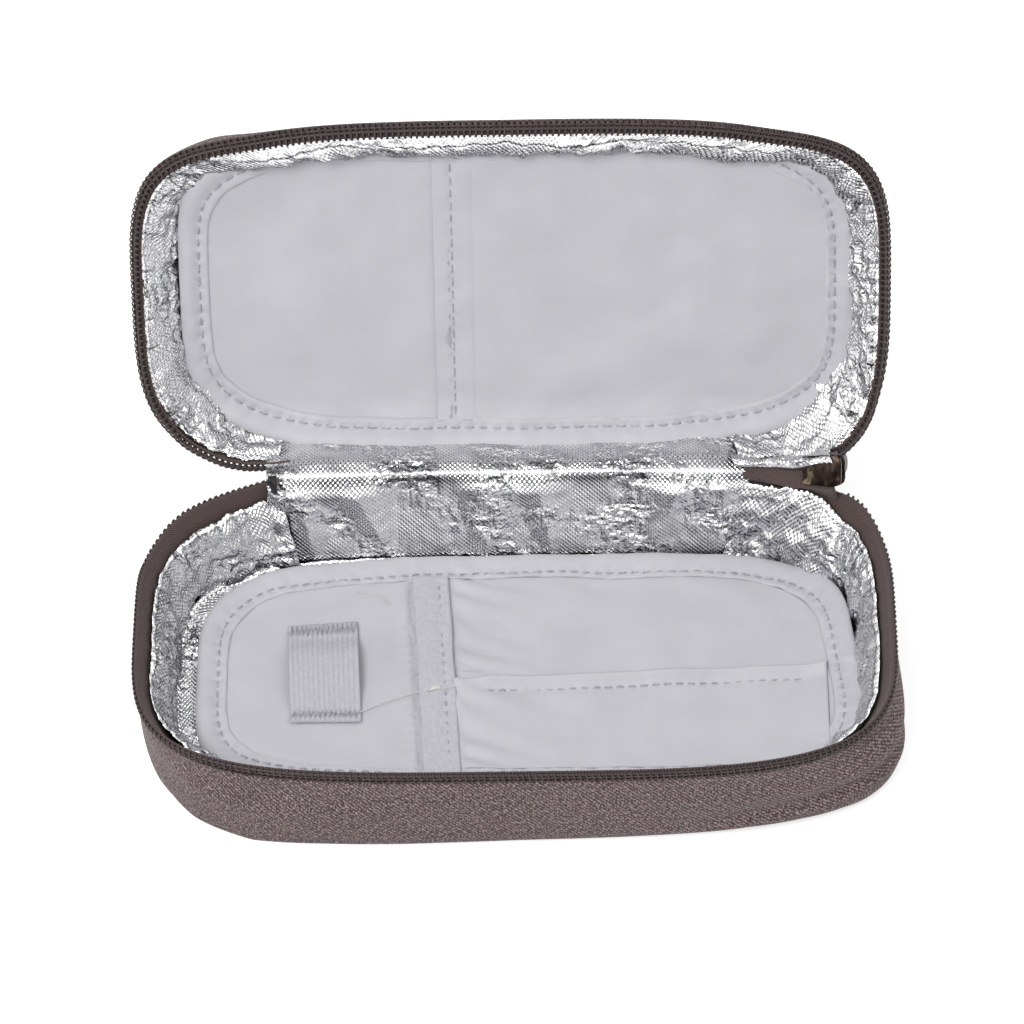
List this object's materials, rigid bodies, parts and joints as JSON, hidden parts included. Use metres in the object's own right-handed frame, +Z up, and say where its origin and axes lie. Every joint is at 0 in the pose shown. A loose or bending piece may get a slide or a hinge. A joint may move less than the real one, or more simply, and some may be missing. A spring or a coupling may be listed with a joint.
{
  "type": "insulated zip case",
  "caption": "Oblong soft case lying open on a fabric hinge: heather fabric shells on foam, crinkled foil lining, nylon pocket panels and a coil zip whose slider is parked at the rear corner.",
  "frame": {"origin": "centre of the base's flat underside, on the surface that the case lies on", "axes": "+X along the length, to the slider's side; +Y towards the hinge, away from the person who opens it; +Z up"},
  "size_m": [0.2, 0.1638, 0.1199],
  "materials": {
    "heather_fabric": "matte",
    "zip_tape": "matte",
    "coil": "satin",
    "zip_stop": "satin",
    "foil": "gloss",
    "foam": "matte",
    "nylon": "satin",
    "slider_metal": "satin"
  },
  "bodies": {
    "base": {"base_bottom_panel": "heather_fabric", "base_side_band": "heather_fabric", "base_bottom_foam": "foam", "base_wall_foam": "foam", "base_foil_wall": "foil", "base_foil_floor": "foil", "base_zip_tape": "zip_tape", "base_zip_teeth": "coil", "zip_stop_left": "zip_stop", "organizer_backing": "nylon", "organizer_binding": "nylon", "organizer_left_sheet": "nylon", "organizer_upper_pocket": "nylon", "organizer_lower_pocket": "nylon", "organizer_band": "nylon", "organizer_loop": "nylon", "hinge_fabric": "heather_fabric", "hinge_foil": "foil", "zip_web_lower": "zip_tape"},
    "lid": {"lid_top_panel": "heather_fabric", "lid_side_band": "heather_fabric", "lid_top_foam": "foam", "lid_wall_foam": "foam", "lid_foil_wall": "foil", "lid_foil_top": "foil", "lid_zip_tape": "zip_tape", "lid_zip_teeth": "coil", "lid_panel_backing": "nylon", "lid_panel_binding": "nylon", "lid_left_sheet": "nylon", "lid_right_sheet": "nylon", "lid_divider_strip": "nylon", "zip_web_upper": "zip_tape"},
    "zip_tail": {"tail_tape_lower": "zip_tape", "tail_tape_upper": "zip_tape", "tail_chain": "coil", "zip_stop_right": "zip_stop"},
    "slider": {"slider_body": "slider_metal"},
    "pull": {"pull_tab": "slider_metal"}
  },
  "joints": [
    {"name": "lid_hinge", "type": "hinge", "parent": "base", "child": "lid", "pos_m": [0, 0.0506, 0.031], "axis": [-1, 0, 0], "range_deg": [-118, 62], "deforming": ["hinge_fabric", "hinge_foil", "zip_web_upper"]},
    {"name": "tail_swing", "type": "hinge", "parent": "base", "child": "zip_tail", "pos_m": [0, 0.0506, 0.031], "axis": [-1, 0, 0], "range_deg": [-44.84, 23.56], "deforming": ["zip_web_lower"]},
    {"name": "slider_slide", "type": "slide", "parent": "zip_tail", "child": "slider", "axis": [-0.9471, 0.2276, -0.2264], "range_m": [0, 0.0126], "deforming": ["tail_chain", "tail_tape_lower", "tail_tape_upper"]},
    {"name": "pull_swing", "type": "hinge", "parent": "slider", "child": "pull", "pos_m": [0.08339, 0.04545, 0.03612], "axis": [0, 0.7051, 0.7091], "range_deg": [-86, 86]}
  ],
  "couplings": [
    {"joint": "tail_swing", "follows": "lid_hinge", "ratio": 0.38}
  ]
}
